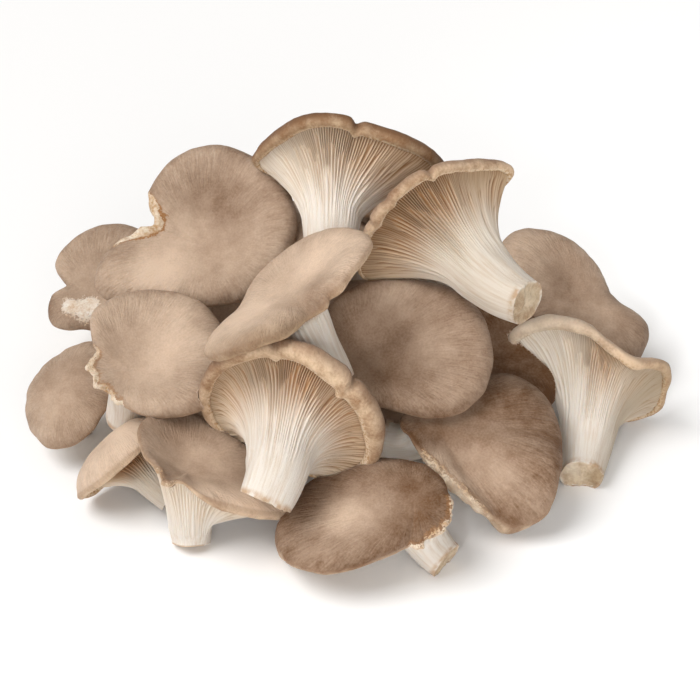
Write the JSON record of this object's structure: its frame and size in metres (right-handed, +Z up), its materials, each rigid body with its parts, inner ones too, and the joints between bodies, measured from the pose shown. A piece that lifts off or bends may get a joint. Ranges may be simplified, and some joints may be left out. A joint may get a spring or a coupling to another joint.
{
  "type": "oyster mushroom cluster",
  "caption": "Heap of picked oyster mushrooms with fan-shaped taupe caps, rolled lips, cream gills and cut white stems, lying together on a surface.",
  "frame": {"origin": "middle of the heap's footprint, on the surface it rests on", "axes": "+Z up, +X to the right along the heap's longest side as seen from its front, -Y towards the front"},
  "size_m": [0.2343, 0.1805, 0.1205],
  "materials": {
    "capped_mushroom": "soft matte taupe cap over cream gills and a white stem",
    "gilled_mushroom": "soft matte cream gills with a taupe lip"
  },
  "bodies": {
    "root": {"front_gills": "gilled_mushroom", "top_gills": "gilled_mushroom", "upper_right_gills": "gilled_mushroom", "right_side_gills": "gilled_mushroom", "pale_folded_cap": "capped_mushroom", "dark_middle_cap": "capped_mushroom", "upper_left_cap": "capped_mushroom", "far_left_lobed_cap": "capped_mushroom", "left_torn_cap": "capped_mushroom", "low_left_cap": "capped_mushroom", "small_tilted_cap": "capped_mushroom", "small_funnel_cap": "capped_mushroom", "front_low_cap": "capped_mushroom", "right_low_cap": "capped_mushroom", "far_right_cap": "capped_mushroom", "shaded_cap": "capped_mushroom", "back_left_cap": "capped_mushroom", "back_middle_cap": "capped_mushroom", "back_right_cap": "capped_mushroom", "inner_left_cap": "capped_mushroom", "inner_right_cap": "capped_mushroom", "inner_top_cap": "capped_mushroom", "inner_front_cap": "capped_mushroom"}
  },
  "joints": []
}
